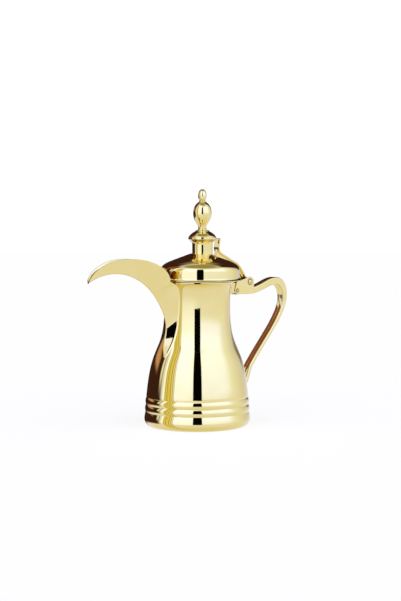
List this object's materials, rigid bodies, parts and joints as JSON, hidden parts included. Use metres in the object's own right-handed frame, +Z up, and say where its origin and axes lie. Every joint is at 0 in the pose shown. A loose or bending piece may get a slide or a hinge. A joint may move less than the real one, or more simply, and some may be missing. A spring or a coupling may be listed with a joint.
{
  "type": "dallah coffee pot",
  "caption": "Polished gold dallah: waisted pot with ringed foot, open crescent spout, hinged conical lid with turned finial and thumb tab, looped side handle.",
  "frame": {"origin": "centre of the base, on the surface that the pot stands on", "axes": "+Z up along the pot's axis, -X towards the spout, +X towards the handle, X-Z is the plane of symmetry"},
  "size_m": [0.2746, 0.112, 0.2489],
  "materials": {
    "polished_gold": "polished",
    "plain_gold": "satin",
    "rivet_gold": "gloss",
    "plain_steel": "satin"
  },
  "bodies": {
    "pot": {"body_shell": "polished_gold", "foot_shell": "polished_gold", "base_plate": "plain_gold", "spout_left_half": "polished_gold", "spout_right_half": "polished_gold", "handle_left_half": "polished_gold", "handle_right_half": "polished_gold", "handle_foot": "polished_gold", "neck_bracket": "polished_gold", "hinge_clevis": "polished_gold", "bracket_rivet": "rivet_gold", "hinge_pin": "rivet_gold"},
    "lid": {"lid_shell": "polished_gold", "lid_inner_ring": "plain_gold", "lid_strap": "polished_gold", "lid_strap_rivets": "rivet_gold", "finial_drum": "polished_gold", "finial_dome": "polished_gold", "finial_knob": "polished_gold", "finial_tip": "polished_gold", "finial_stud": "plain_steel", "finial_washer": "plain_steel", "finial_nut": "plain_steel"}
  },
  "joints": [
    {"name": "lid_hinge", "type": "hinge", "parent": "pot", "child": "lid", "pos_m": [0.0713, 0, 0.1496], "axis": [0, 1, 0], "range_deg": [0, 110]}
  ]
}
